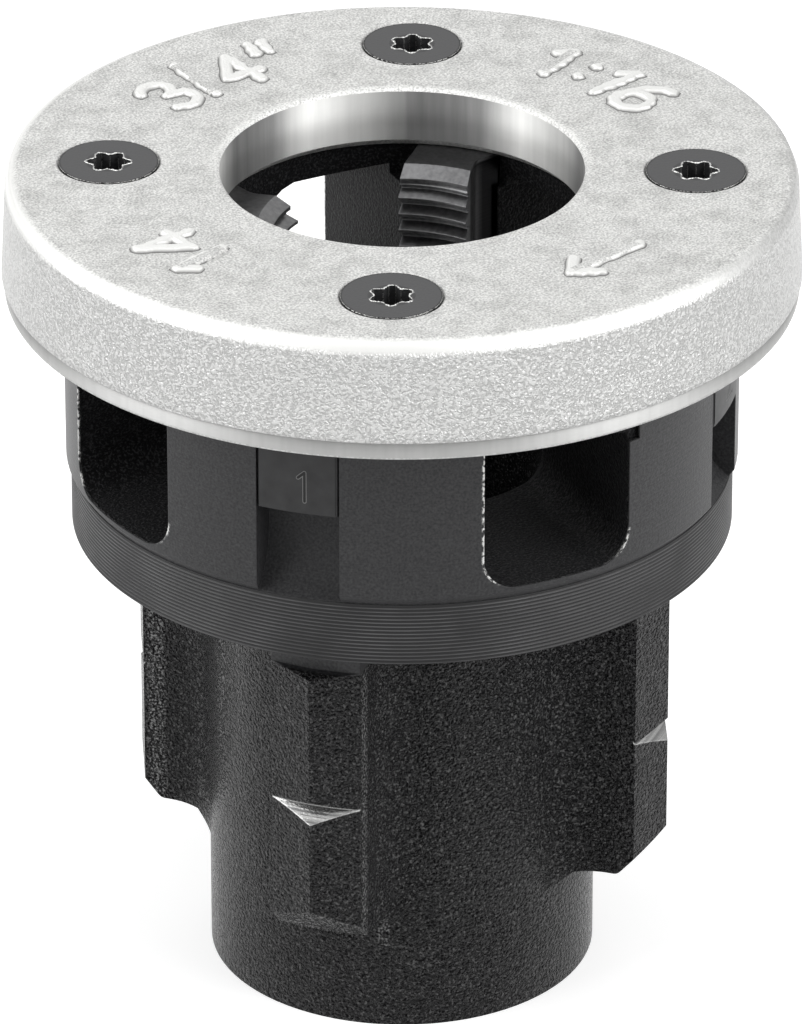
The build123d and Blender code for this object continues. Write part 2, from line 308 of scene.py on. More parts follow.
def pebbles(tree, position, size, bend=0.4):
    """The pebbled skin of a casting: curled noise with flat tops and narrow valleys."""
    noise = add(tree, "TexNoise", {"Vector": position, "Scale": 1 / size, "Detail": 1.5,
                                   "Distortion": bend})
    return add(tree, "MapRange", {"Value": noise, "From Min": 0.36, "From Max": 0.62},
               interpolation_type="SMOOTHSTEP")


def turning_lines(tree, position, pitch):
    """Noise drawn out round the axis and fine along it, like the marks of a lathe tool."""
    stretched = add(tree, "VectorMath", {0: position, 1: (40, 40, 1 / pitch)}, operation="MULTIPLY")
    return add(tree, "TexNoise", {"Vector": stretched, "Scale": 1.0})


cast_rise, oily_rise, turned_rise = 0.24, 0.05, 0.025
lumps = pebbles(tree, position, 0.34 * mm)
fine = add(tree, "TexNoise", {"Vector": position, "Scale": 1 / (0.25 * mm)})
lines = turning_lines(tree, position, 0.12 * mm)
lump_height = add(tree, "MapRange", {"Value": chamber, "To Min": cast_rise, "To Max": oily_rise})
cast_height = add(tree, "Math", {0: lumps, 1: lump_height}, operation="MULTIPLY")
turned_height = add(tree, "Math", {0: fine, 1: lines}, operation="ADD")
turned_height = add(tree, "Math", {0: turned_height, 1: turned_rise}, operation="MULTIPLY")
relief = add(tree, "Mix", {"Factor": smooth, "A": cast_height, "B": turned_height})
print("skin", cast_rise, "mm high, in the chamber", oily_rise, "mm")

# %% [markdown]
# A locking groove crosses the ribs, and its upper flank is freshly cut metal. That flank is part
# of a cone, on which height falls by 0.94 mm for each mm outwards, so height plus 0.94 times the
# distance from the axis is the same all over it, and that sum makes the mask. A Bevel node rounds
# every sharp edge in the shading only, so the edges catch light and the mesh stays as it is.

# %% Body material: flank of the groove, and edges
flank_fall, flank_z, flank_r = 0.9375, 28.6, 26.6
flank_level = (flank_z + flank_fall * flank_r) * mm
fall = add(tree, "Math", {0: radius, 1: flank_fall, 2: height}, operation="MULTIPLY_ADD")
flank = zone(tree, (fall, flank_level - 0.12 * mm, flank_level + 0.12 * mm), (radius, 26.4 * mm, 30 * mm))
relief = add(tree, "Mix", {"Factor": flank, "A": relief, "B": turned_height})
rounded = add(tree, "Bevel", {"Radius": 0.18 * mm}, samples=4)
bump = add(tree, "Bump", {"Height": relief, "Distance": mm, "Normal": rounded})
print(body_finish.name, len(tree.nodes), "nodes with the relief")

# %% [markdown]
# A black skin shows its pebbles mostly by tone, and that tone holds painted light and shade: valleys are
# painted darker than tops as painted shade, small specks are painted lighter as painted glints, a few
# brighter specks are larger painted glints, and the gloss is tinted darker in the valleys as painted
# shade. On the flank of each rib that faces the light, the specks are painted light near its two corners
# as painted glints. Only the ribs' right-hand side gets them, and the product x y (x + y) (y - x) is
# positive on exactly that side of all four ribs.

# %% Body material: tones of the cast skin
# Small specks painted lighter: painted glints on the grain.
glint_specks = patches(tree, position, 0.24 * mm, 0.50, 0.64)
# A few brighter specks: larger painted glints.
painted_glints = patches(tree, position, 0.30 * mm, 0.57, 0.70, detail=1.0)
# Valleys painted darker than tops: painted shade in the grain.
valley_shaded_tone = add(tree, "Mix", {"Factor": lumps, "A": "0a0a0b", "B": "121213"}, data_type="RGBA")
cast_tone = add(tree, "Mix", {"Factor": glint_specks, "A": valley_shaded_tone, "B": "222223"}, data_type="RGBA")
cast_tone = add(tree, "Mix", {"Factor": painted_glints, "A": cast_tone, "B": "505050"}, data_type="RGBA")

plan = add(tree, "SeparateXYZ", {0: position}).outputs
product = add(tree, "Math", {0: plan["X"], 1: plan["Y"]}, operation="MULTIPLY")
total = add(tree, "Math", {0: plan["Y"], 1: plan["X"]}, operation="ADD")
step = add(tree, "Math", {0: plan["Y"], 1: plan["X"]}, operation="SUBTRACT")
turning = add(tree, "Math", {0: total, 1: step}, operation="MULTIPLY")
turning = add(tree, "Math", {0: turning, 1: product}, operation="MULTIPLY")
right_side = add(tree, "Math", {0: turning, 1: 0.0}, operation="GREATER_THAN")

inner_corner = between(tree, radius, 19.3 * mm, 20.9 * mm, 0.3 * mm)
outer_corner = between(tree, radius, 24.4 * mm, 26.2 * mm, 0.3 * mm)
corners = add(tree, "Math", {0: inner_corner, 1: outer_corner}, operation="MAXIMUM")
rib_wall = zone(tree, (off_middle, 3.6 * mm, 4.7 * mm, 0.15 * mm), (height, 9 * mm, neck_low))
# Painted glints: light specks on the right-hand flank of each rib, near its corners.
painted_flank_glints = glint_specks
for mask in (rib_wall, corners, right_side):
    painted_flank_glints = add(tree, "Math", {0: painted_flank_glints, 1: mask}, operation="MULTIPLY")
cast_tone = add(tree, "Mix", {"Factor": painted_flank_glints, "A": cast_tone, "B": "808080"}, data_type="RGBA")
print(body_finish.name, len(tree.nodes), "nodes with the cast tones")

# %% [markdown]
# Inside the chamber the floor is lighter than its walls, in tone and in gloss, and both keep the painted
# glint specks. The machined faces are speckled black with a fuller gloss than the cast ones.

# %% Body material: tones of the chamber and of machined faces
near_chamber_floor = between(tree, height, 50 * mm, 60 * mm, 1.5 * mm)
wall_tone = add(tree, "Mix", {"Factor": glint_specks, "A": "161617", "B": "303031"}, data_type="RGBA")
floor_tone = add(tree, "Mix", {"Factor": glint_specks, "A": "161617", "B": "3a3a3b"}, data_type="RGBA")
inner_tone = add(tree, "Mix", {"Factor": near_chamber_floor, "A": wall_tone, "B": floor_tone}, data_type="RGBA")
cast_tone = add(tree, "Mix", {"Factor": chamber, "A": cast_tone, "B": inner_tone}, data_type="RGBA")
speckle = add(tree, "MapRange", {"Value": fine, "From Min": 0.3, "From Max": 0.75})
turned_tone = add(tree, "Mix", {"Factor": speckle, "A": "18181a", "B": "343435"}, data_type="RGBA")
tone = add(tree, "Mix", {"Factor": smooth, "A": cast_tone, "B": turned_tone}, data_type="RGBA")

# Gloss tinted darker in the valleys: painted shade in the grain.
valley_shaded_gloss = add(tree, "Mix", {"Factor": lumps, "A": "282828", "B": "747474"}, data_type="RGBA")
cast_gloss = add(tree, "Mix", {"Factor": glint_specks, "A": valley_shaded_gloss, "B": "c4c4c4"}, data_type="RGBA")
inner_gloss = add(tree, "Mix", {"Factor": near_chamber_floor, "A": "141414", "B": "343434"}, data_type="RGBA")
cast_gloss = add(tree, "Mix", {"Factor": chamber, "A": cast_gloss, "B": inner_gloss}, data_type="RGBA")
gloss = add(tree, "Mix", {"Factor": smooth, "A": cast_gloss, "B": "c4c4c4"}, data_type="RGBA")
print(body_finish.name, len(tree.nodes), "nodes with all tones")

# %% [markdown]
# The rims of the chip windows are chipped: along their left and lower edges, as seen from
# outside, the black has come off in specks and the bare iron shines. Each window has its own
# coordinate sideways, so a loop over the windows, each given by its azimuth from -Y in degrees and
# half its width in millimetres, joins their masks.

# %% Body material: where the window rims are
windows = ((0.0, 7.95), (95.2, 8.5), (180.0, 7.95), (275.2, 8.5))
rim_low, rim_foot, rim_high = 57.1 * mm, 59.6 * mm, 80 * mm
past_edge, inside_edge = 0.8, 2.5
near_window = None
for window_azimuth, half_width in windows:
    turn = math.radians(window_azimuth)
    outward = add(tree, "VectorMath", {0: position, 1: (math.sin(turn), -math.cos(turn), 0)},
                  operation="DOT_PRODUCT")
    sideways = add(tree, "VectorMath", {0: position, 1: (math.cos(turn), math.sin(turn), 0)},
                   operation="DOT_PRODUCT")
    edge_out, edge_in = (half_width + past_edge) * mm, (half_width - inside_edge) * mm
    left = zone(tree, (sideways, -edge_out, -edge_in, 0.2 * mm), (height, rim_low, rim_high, 0.3 * mm))
    low = zone(tree, (sideways, -edge_out, edge_out), (height, rim_low, rim_foot, 0.3 * mm))
    rim = add(tree, "Math", {0: left, 1: low}, operation="MAXIMUM")
    here = between(tree, outward, 20 * mm, past_body)
    rim = add(tree, "Math", {0: rim, 1: here}, operation="MULTIPLY")
    if near_window:
        rim = add(tree, "Math", {0: near_window, 1: rim}, operation="MAXIMUM")
    near_window = rim
print(len(windows), "windows,", [2 * half_width for _, half_width in windows], "mm wide")

# %% [markdown]
# Where a rounded normal leaves the face's own one, an edge is near: that gives a line along the
# edge. Noise with a hard threshold breaks the line into specks and bunches of specks.

# %% Body material: chips
def worn_edge(tree, rounded, start, full):
    """1 where the rounded normal leaves the face's own normal, which is only near an edge."""
    own = add(tree, "NewGeometry", {}).outputs["Normal"]
    agree = add(tree, "VectorMath", {0: rounded, 1: own}, operation="DOT_PRODUCT")
    return add(tree, "MapRange", {"Value": agree, "From Min": full, "From Max": start,
                                  "To Min": 1.0, "To Max": 0.0})


chips = patches(tree, position, 0.50 * mm, 0.44, 0.52, detail=3.0)
bunches = patches(tree, position, 2.5 * mm, 0.32, 0.42, detail=1.0)
wide_edge = add(tree, "Bevel", {"Radius": 0.42 * mm}, samples=4)
worn = worn_edge(tree, wide_edge, start=0.997, full=0.95)
bare = chips
for mask in (bunches, worn, near_window, outside):
    bare = add(tree, "Math", {0: bare, 1: mask}, operation="MULTIPLY")
print(body_finish.name, len(tree.nodes), "nodes with the chips")

# %% [markdown]
# The bare places are metal and the black skin is not, so Metallic follows the masks. The flank of the
# groove is brushed steel, lighter and darker in fine lines. The chamber is dull.

# %% Body material: put it together
brushed = turning_lines(tree, position, 0.20 * mm)
brushed = add(tree, "MapRange", {"Value": brushed, "From Min": 0.35, "From Max": 0.65})
flank_tone = add(tree, "Mix", {"Factor": brushed, "A": "7e7e7e", "B": "b0b0af"}, data_type="RGBA")
tone = add(tree, "Mix", {"Factor": flank, "A": tone, "B": flank_tone}, data_type="RGBA")
tone = add(tree, "Mix", {"Factor": bare, "A": tone, "B": "e6e6e4"}, data_type="RGBA")
bare_metal = add(tree, "Math", {0: bare, 1: flank}, operation="MAXIMUM")
roughness = add(tree, "MapRange", {"Value": smooth, "To Min": 0.23, "To Max": 0.40})
roughness = add(tree, "Mix", {"Factor": chamber, "A": roughness, "B": 0.62})
give_surface(tree, {
    "Base Color": tone, "Specular Tint": gloss, "Specular IOR Level": 0.5, "Roughness": roughness,
    "Metallic": bare_metal, "Normal": bump})
print(body_finish.name, len(tree.nodes), "nodes")

# %% [markdown]
# ## Pale finish of the cover
#
# The cover is a light casting, blasted with steel shot, so its skin is matt metal full of small
# facets. The rim keeps the pebbles of the mould, 0.3 mm across, and the top is finer, where
# blasting wore it down. The relief is a mix of both, and fades where the skin is rubbed smooth.
# The long rounding from the top to the side is a shading normal, so the solid stays as it is.

# %% Cover material: height of the skin
past_cover, past_top = 60 * mm, 90 * mm
side_radius, rim_radius, rim_bottom = 38.6 * mm, 38.2 * mm, 85.2 * mm
side_rise, top_rise, sparkle_rise = 0.10, 0.16, 0.04

cover_finish, tree = new_material("shot_blasted_light_casting")
position, radius, height = place_on_head(tree)
on_side = between(tree, radius, side_radius, past_cover, 0.5 * mm)
at_lip = between(tree, height, 70 * mm, 76.0 * mm)
lip = add(tree, "Math", {0: on_side, 1: at_lip}, operation="MULTIPLY")
rim = zone(tree, (radius, rim_radius, past_cover, 0.3 * mm), (height, rim_bottom, past_top, 0.3 * mm))
rubbed_smooth = add(tree, "Math", {0: lip, 1: rim}, operation="MAXIMUM")
coarse = pebbles(tree, position, 0.30 * mm, bend=0.6)
fine = add(tree, "TexNoise", {"Vector": position, "Scale": 1 / (0.22 * mm), "Detail": 3.0})
sparkle = add(tree, "TexNoise", {"Vector": position, "Scale": 1 / (0.12 * mm), "Detail": 1.0})
side_height = add(tree, "Math", {0: coarse, 1: side_rise}, operation="MULTIPLY")
top_height = add(tree, "Math", {0: fine, 1: top_rise}, operation="MULTIPLY")
relief = add(tree, "Mix", {"Factor": on_side, "A": top_height, "B": side_height})
relief = add(tree, "Math", {0: sparkle, 1: sparkle_rise, 2: relief}, operation="MULTIPLY_ADD")
relief = add(tree, "Mix", {"Factor": rubbed_smooth, "A": relief, "B": 0.0})
near_rim = between(tree, radius, 30 * mm, past_cover)
rounding = add(tree, "MapRange", {"Value": near_rim, "To Min": 0.25 * mm, "To Max": 1.25 * mm})
rounded = add(tree, "Bevel", {"Radius": rounding}, samples=4)
bump = add(tree, "Bump", {"Height": relief, "Distance": mm, "Normal": rounded})
print("pebbles", side_rise, "mm high on the side, grain", top_rise, "mm high on the top")

# %% [markdown]
# The grain is painted darker in its valleys, both as dirt and as painted shade, and dirt lies in cloudy
# patches a few millimetres wide. The upper rim gets a painted highlight on one side, and the top edge of
# the bore a painted highlight, broken into specks, on the other: a dot product with a direction tells the
# two sides apart.

# %% Cover material: tones
far_away = 1000 * mm
dirt = patches(tree, position, 3.0 * mm, 0.35, 0.55, detail=6.0)
# Painted shade and dirt: the top grain is darker in its valleys.
specks = add(tree, "MapRange", {"Value": fine, "From Min": 0.36, "From Max": 0.64})
clean_tone = add(tree, "Mix", {"Factor": specks, "A": "b0b0af", "B": "dededc"}, data_type="RGBA")
dirty_tone = add(tree, "Mix", {"Factor": specks, "A": "a2a2a1", "B": "d0d0ce"}, data_type="RGBA")
top_tone = add(tree, "Mix", {"Factor": dirt, "A": dirty_tone, "B": clean_tone}, data_type="RGBA")
# Painted shade and dirt: the side pebbles are darker in their valleys.
side_tone = add(tree, "Mix", {"Factor": coarse, "A": "a8a8a7", "B": "c0c0bf"}, data_type="RGBA")
tone = add(tree, "Mix", {"Factor": on_side, "A": top_tone, "B": side_tone}, data_type="RGBA")

# Painted highlight along the upper rim, on one side.
rim_highlight_side = add(tree, "VectorMath", {0: position, 1: (-0.95, -0.30, 0)}, operation="DOT_PRODUCT")
rim_highlight_side = between(tree, rim_highlight_side, -mm, far_away, 16 * mm)
painted_rim_highlight = add(tree, "Math", {0: rim, 1: rim_highlight_side}, operation="MULTIPLY")
# Painted highlight on the top edge of the bore, on the other side, broken into specks.
bore_highlight_side = add(tree, "VectorMath", {0: position, 1: (0.46, 0.89, 0)}, operation="DOT_PRODUCT")
painted_bore_highlight = zone(tree, (radius, 17 * mm, 18.75 * mm, 0.35 * mm), (height, 86.0 * mm, past_top, 0.1 * mm),
             (bore_highlight_side, 0, far_away, 6 * mm))
highlight_specks = add(tree, "MapRange", {"Value": specks, "To Min": 0.3, "To Max": 1.0})
painted_bore_highlight = add(tree, "Math", {0: painted_bore_highlight, 1: highlight_specks}, operation="MULTIPLY")
bright = add(tree, "Math", {0: painted_rim_highlight, 1: painted_bore_highlight}, operation="MAXIMUM")
tone = add(tree, "Mix", {"Factor": bright, "A": tone, "B": "e6e6e4"}, data_type="RGBA")
print(cover_finish.name, len(tree.nodes), "nodes with the tones")

# %% [markdown]
# The whole cover is bare metal. The shot left the top duller than the side, and the finest noise
# makes the gloss uneven from facet to facet, so that the metal twinkles a little.

# %% Cover material: put it together
top_roughness = add(tree, "MapRange", {"Value": sparkle, "To Min": 0.50, "To Max": 0.74})
side_roughness = add(tree, "MapRange", {"Value": sparkle, "To Min": 0.30, "To Max": 0.46})
roughness = add(tree, "Mix", {"Factor": on_side, "A": top_roughness, "B": side_roughness})
give_surface(tree, {
    "Base Color": tone, "Metallic": 1.0, "Roughness": roughness, "Normal": bump})
print(cover_finish.name, len(tree.nodes), "nodes")

# %% [markdown]
# ## Turned metal
#
# The lip and the bore of the cover are turned. Fine grooves round the axis spread a reflection across
# them, so lamps show as upright streaks. The shader does that with Anisotropic and a Tangent node that
# runs round Z. On top of that the bore's colour holds painted reflections: it is painted lighter and
# darker in five broad bands, a cosine of five times the angle, and with upright streaks. The lip is even,
# with faint upright streaks painted into its colour as painted reflections.
# The grooves, 0.05 mm apart, are drawn 0.15 mm apart so that they show.

# %% Turned metal material
band_count, band_turn = 5, 65.4

turned_finish, tree = new_material("turned_light_metal")
position, radius, _ = place_on_head(tree)
plan = add(tree, "SeparateXYZ", {0: position}).outputs
# Painted reflections: five broad lighter and darker bands round the bore.
azimuth = add(tree, "Math", {0: plan["X"], 1: plan["Y"]}, operation="ARCTAN2")
wave = add(tree, "Math", {0: azimuth, 1: band_count, 2: math.radians(band_count * band_turn)},
           operation="MULTIPLY_ADD")
wave = add(tree, "Math", {0: wave}, operation="COSINE")
painted_reflection_bands = add(tree, "MapRange", {"Value": wave, "From Min": -0.6, "From Max": 0.6})
# Painted reflections: faint upright streaks on the lip and the bore.
upright = add(tree, "VectorMath", {0: position, 1: (1, 1, 0.06)}, operation="MULTIPLY")
painted_streaks = add(tree, "TexNoise", {"Vector": upright, "Scale": 1 / (0.9 * mm), "Detail": 3.0})
bore_mix = add(tree, "Mix", {"Factor": 0.3, "A": painted_reflection_bands, "B": painted_streaks})
bore_tone = add(tree, "Mix", {"Factor": bore_mix, "A": "7c7c7c", "B": "e4e4e2"}, data_type="RGBA")
lip_tone = add(tree, "Mix", {"Factor": painted_streaks, "A": "acacab", "B": "c0c0bf"}, data_type="RGBA")
inside = between(tree, radius, 0, 30 * mm)
tone = add(tree, "Mix", {"Factor": inside, "A": lip_tone, "B": bore_tone}, data_type="RGBA")

lines = turning_lines(tree, position, 0.15 * mm)
relief = add(tree, "Math", {0: lines, 1: 0.010}, operation="MULTIPLY")
bump = add(tree, "Bump", {"Height": relief, "Distance": mm})
tangent = add(tree, "Tangent", {}, direction_type="RADIAL", axis="Z")
give_surface(tree, {
    "Base Color": tone, "Metallic": 1.0, "Roughness": 0.62, "Anisotropic": 0.85,
    "Anisotropic Rotation": 0.25, "Tangent": tangent, "Normal": bump})
print(turned_finish.name, len(tree.nodes), "nodes")

# %% [markdown]
# ## Tool steel of the dies
#
# The dies are hardened steel, dark from heat treatment and ground on the working faces, so the teeth and
# the top are grey satin metal with short scratches. Behind the teeth and below the top their sides are
# darker. The outer end of each die is black like the body, but blotchy, as if by hand.

# %% Die material
die_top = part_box("die_1")[1][2]
behind_teeth, end_radius = 14.3 * mm, 33.2 * mm

die_finish, tree = new_material("ground_tool_steel")
position, radius, height = place_on_head(tree)
black_end = between(tree, radius, end_radius, past_body)
darker_die_sides = zone(tree, (radius, behind_teeth, past_body, 0.3 * mm), (height, 0, die_top - 0.3 * mm, 0.1 * mm))
spots = add(tree, "TexNoise", {"Vector": position, "Scale": 1 / (0.5 * mm), "Detail": 3.0})
blotches = add(tree, "TexNoise", {"Vector": position, "Scale": 1 / (1.6 * mm), "Detail": 3.0})
steel = add(tree, "Mix", {"Factor": spots, "A": "565657", "B": "8c8c8d"}, data_type="RGBA")
steel = add(tree, "Mix", {"Factor": darker_die_sides, "A": steel, "B": "141415"}, data_type="RGBA")
mottled = add(tree, "Mix", {"Factor": blotches, "A": "0b0b0c", "B": "2c2c2d"}, data_type="RGBA")
tone = add(tree, "Mix", {"Factor": black_end, "A": steel, "B": mottled}, data_type="RGBA")

scratches = turning_lines(tree, position, 0.2 * mm)
relief = add(tree, "Math", {0: scratches, 1: 0.02}, operation="MULTIPLY")
rounded = add(tree, "Bevel", {"Radius": 0.12 * mm}, samples=4)
bump = add(tree, "Bump", {"Height": relief, "Distance": mm, "Normal": rounded})
metal = add(tree, "MapRange", {"Value": black_end, "To Min": 1.0, "To Max": 0.0})
roughness = add(tree, "MapRange", {"Value": spots, "To Min": 0.30, "To Max": 0.45})
give_surface(tree, {
    "Base Color": tone, "Specular IOR Level": 0.3, "Metallic": metal, "Roughness": roughness,
    "Normal": bump})
print(die_finish.name, len(tree.nodes), "nodes")

# %% [markdown]
# ## Black screws
#
# The screws are oxide-blackened steel. The shade of the gap round each head is painted black on the edge
# of the head, and the recess is painted dark and spotty as painted shade. Both need the distance from the
# screw's own axis. Folding the four screws onto one, by a turn, absolute values and a swap of the larger
# and the smaller, gives it to all at once.

# %% Screw material: distance from the screw's own axis
screw_finish, tree = new_material("black_oxide_steel")
position = add(tree, "TexCoord", {}).outputs["Object"]
screw_circle, screw_turn = 28.9, 29.4
unturned = add(tree, "VectorRotate", {"Vector": position, "Angle": math.radians(screw_turn)},
               rotation_type="Z_AXIS")
unturned = add(tree, "VectorMath", {0: unturned}, operation="ABSOLUTE")
plan = add(tree, "SeparateXYZ", {0: unturned}).outputs
far = add(tree, "Math", {0: plan["X"], 1: plan["Y"]}, operation="MAXIMUM")
near = add(tree, "Math", {0: plan["X"], 1: plan["Y"]}, operation="MINIMUM")
far = add(tree, "Math", {0: far, 1: screw_circle * mm}, operation="SUBTRACT")
local = add(tree, "CombineXYZ", {0: far, 1: near})
from_axis = add(tree, "VectorMath", {0: local}, operation="LENGTH")
print("screws on a circle", 2 * screw_circle, "mm across")

# %% [markdown]
# The flat of the head is satin grey black, and the driver has rubbed the edges of the recess and
# of the rim to bare metal.

# %% Screw material: skin and tones
head_radius, countersink_radius, recess_radius = 4.78 * mm, 9 * mm, 2.3 * mm
skin = add(tree, "TexNoise", {"Vector": position, "Scale": 1 / (0.25 * mm), "Detail": 3.0})
relief = add(tree, "Math", {0: skin, 1: 0.015}, operation="MULTIPLY")
rounded = add(tree, "Bevel", {"Radius": 0.16 * mm}, samples=4)
bump = add(tree, "Bump", {"Height": relief, "Distance": mm, "Normal": rounded})
rubbed = add(tree, "MapRange", {"Value": skin, "From Min": 0.40, "From Max": 0.55})
worn = worn_edge(tree, rounded, start=0.99, full=0.94)
bare = add(tree, "Math", {0: worn, 1: rubbed}, operation="MULTIPLY")
# Painted shade: the edge of the head is painted black where the gap round it is in shade.
painted_gap_shade = between(tree, from_axis, head_radius, countersink_radius, 0.06 * mm)
recess = between(tree, from_axis, 0, recess_radius)
tone = add(tree, "Mix", {"Factor": skin, "A": "3e3e3f", "B": "505051"}, data_type="RGBA")
tone = add(tree, "Mix", {"Factor": painted_gap_shade, "A": tone, "B": "0b0b0c"}, data_type="RGBA")
# Painted shade: the recess is painted dark and spotty.
painted_recess_shade = add(tree, "Mix", {"Factor": skin, "A": "141415", "B": "4c4c4d"}, data_type="RGBA")
tone = add(tree, "Mix", {"Factor": recess, "A": tone, "B": painted_recess_shade}, data_type="RGBA")
tone = add(tree, "Mix", {"Factor": bare, "A": tone, "B": "c8c8c6"}, data_type="RGBA")
roughness = add(tree, "MapRange", {"Value": skin, "To Min": 0.34, "To Max": 0.46})
give_surface(tree, {
    "Base Color": tone, "Metallic": bare, "Roughness": roughness, "Specular IOR Level": 0.2,
    "Normal": bump})
print(screw_finish.name, len(tree.nodes), "nodes")

# %% [markdown]
# Each solid has its material slots already. The finishes take the place of the plain ones.

# %% Give the finishes to the solids
finishes = {"head_body": body_finish, "cover_plate": cover_finish}
for number in (1, 2, 3, 4):
    finishes[f"die_{number}"] = die_finish
    finishes[f"cover_screw_{number}"] = screw_finish
for name, finish in finishes.items():
    slots = nodes[name].material_slots
    for slot in slots:
        slot.material = finish
    print(name, "gets", finish.name, "in", len(slots), "slot")

# %% [markdown]
# ## Surfaces from a grid
#
# Each new piece is one surface: a grid of points, worked out all at once with numpy. Rows follow
# a profile and columns go round or across. One function turns such a grid into a mesh. It can
# close the grid in either direction, and its quads are ordered so that faces look outwards when
# rows go up the outside and columns go counter-clockwise.

# %% From a grid to a piece
def grid_piece(name, points, finish, close_rows=False, close_columns=False):
    """Mesh piece from points[row, column, 3]: quad (i, j), (i, j+1), (i+1, j+1), (i+1, j)."""
    rows, columns = points.shape[:2]
    i = np.arange(rows if close_rows else rows - 1)[:, None]
    j = np.arange(columns if close_columns else columns - 1)[None, :]
    up, on = (i + 1) % rows, (j + 1) % columns
    corners = [i * columns + j, i * columns + on, up * columns + on, up * columns + j]
    quads = np.stack(corners, axis=-1).astype(np.int32)
    count = quads.shape[0] * quads.shape[1]
    mesh = bpy.data.meshes.new(name)
    mesh.vertices.add(rows * columns)
    mesh.vertices.foreach_set("co", points.reshape(-1))
    mesh.loops.add(4 * count)
    mesh.loops.foreach_set("vertex_index", quads.reshape(-1))
    mesh.polygons.add(count)
    mesh.polygons.foreach_set("loop_start", np.arange(0, 4 * count, 4, dtype=np.int32))
    mesh.polygons.foreach_set("loop_total", np.full(count, 4, dtype=np.int32))
    mesh.update(calc_edges=True)
    mesh.validate()
    mesh.shade_smooth()
    mesh.materials.append(finish)
    piece = bpy.data.objects.new(name, mesh)
    scene.collection.objects.link(piece)
    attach(piece, "root")
    print(name, 2 * count, "triangles")


def carried_round(radii, heights, columns):
    """Points of a profile carried round Z: (r cos a, r sin a, z) for each profile point and angle a."""
    angle = np.linspace(0, 2 * np.pi, columns, endpoint=False)[None, :]
    radii, heights = np.asarray(radii)[:, None], np.asarray(heights)[:, None]
    return np.stack([radii * np.cos(angle), radii * np.sin(angle), heights + 0 * angle], axis=-1)


# %% [markdown]
# ## Grooved band
#
# Under the windows the body has a grip band of fine turned grooves, 0.4 mm apart. The solid has a
# plain band there, so a thin ring is laid over it, 0.1 mm proud. Its profile is a row of ridges:
# the radius follows a cosine of the height, squared to make the ridges narrow and the roots wide.
# The roots stay black, and hands have worn the crests to grey, more in some places than others.

# %% Grooved band: black iron with worn crests
crest_radius = 33.03 * mm

band_finish, tree = new_material("turned_black_iron")
position, radius, _ = place_on_head(tree)
fine = add(tree, "TexNoise", {"Vector": position, "Scale": 1 / (0.25 * mm)})
relief = add(tree, "Math", {0: fine, 1: 0.02}, operation="MULTIPLY")
bump = add(tree, "Bump", {"Height": relief, "Distance": mm})
crests = between(tree, radius, crest_radius, past_body, 0.03 * mm)
wear = patches(tree, position, 7.0 * mm, 0.35, 0.65, detail=3.0)
crest_tone = add(tree, "Mix", {"Factor": wear, "A": "343435", "B": "585859"}, data_type="RGBA")
tone = add(tree, "Mix", {"Factor": crests, "A": "161617", "B": crest_tone}, data_type="RGBA")
roughness = add(tree, "MapRange", {"Value": fine, "To Min": 0.34, "To Max": 0.48})
give_surface(tree, {
    "Base Color": tone, "Specular IOR Level": 0.3, "Roughness": roughness, "Normal": bump})
print(band_finish.name, len(tree.nodes), "nodes")

# %% [markdown]
# The profile goes up the ridges and comes back behind them, inside the solid, so that the ring is
# closed. Six steps to a groove are enough to shade it round.

# %% Grooved band: the ring
groove_pitch, steps_per_groove = 0.40 * mm, 6
groove_low, groove_high = 48.72 * mm, 55.08 * mm
ring_back, ring_root, ring_crest = 32.90 * mm, 32.965 * mm, 33.07 * mm
grooves = round((groove_high - groove_low) / groove_pitch)
z = np.linspace(groove_low, groove_high, steps_per_groove * grooves + 1)
ridge = (0.5 + 0.5 * np.cos(2 * np.pi * (z - groove_low) / groove_pitch)) ** 2
outer = ring_root + (ring_crest - ring_root) * ridge
band_points = carried_round([ring_back, *outer, ring_back], [z[0], *z, z[-1]], columns=720)
grid_piece("grooved_band", band_points, band_finish, close_rows=True, close_columns=True)

# %% [markdown]
# ## Lip and bore of the cover
#
# The lower lip and the bore are the machined faces of the cover. Each gets a thin skin of turned
# metal, 0.02 mm proud of the solid, so that the anisotropic finish stays off the cast skin. The
# lip's lower edge is broken at 45 degrees and shows as a bright line.

# %% Lip and bore skins
lip_radius, lip_low, lip_high = 39.33 * mm, 74.17 * mm, 76.02 * mm
lip_break = 0.22 * mm
lip_radii = [39.0 * mm, lip_radius - lip_break, lip_radius, lip_radius, 39.2 * mm]
lip_heights = [lip_low, lip_low, lip_low + lip_break, lip_high, lip_high]
lip_points = carried_round(lip_radii, lip_heights, columns=720)
grid_piece("turned_lip", lip_points, turned_finish, close_rows=True, close_columns=True)

bore_radius, bore_low, bore_high = 17.98 * mm, 80.9 * mm, 86.21 * mm
skin_back = bore_radius + 0.06 * mm
bore_points = carried_round([bore_radius, skin_back, skin_back, bore_radius],
                            [bore_low, bore_low, bore_high, bore_high], columns=480)
grid_piece("turned_bore", bore_points, turned_finish, close_rows=True, close_columns=True)

# %% [markdown]
# ## Cast numbers on the cover
#
# Plain numbers stand 0.4 mm proud of the cover, with soft edges as a sand mould gives them. Each
# is drawn as strokes, that is lines and arcs. The height of the surface at a point is worked out
# from its distance to the nearest stroke: full height near the stroke, half of it where the
# stroke's width ends, and down to just below the cover's face, where the patch disappears.

# %% Strokes
def arc(centre_x, centre_y, wide, high, start, stop, steps=14):
    """Points of an elliptic arc: (cx + w cos t, cy + h sin t), t from start to stop in degrees."""
    t = np.radians(np.linspace(start, stop, steps))
    return np.stack([centre_x + wide * np.cos(t), centre_y + high * np.sin(t)], axis=1)


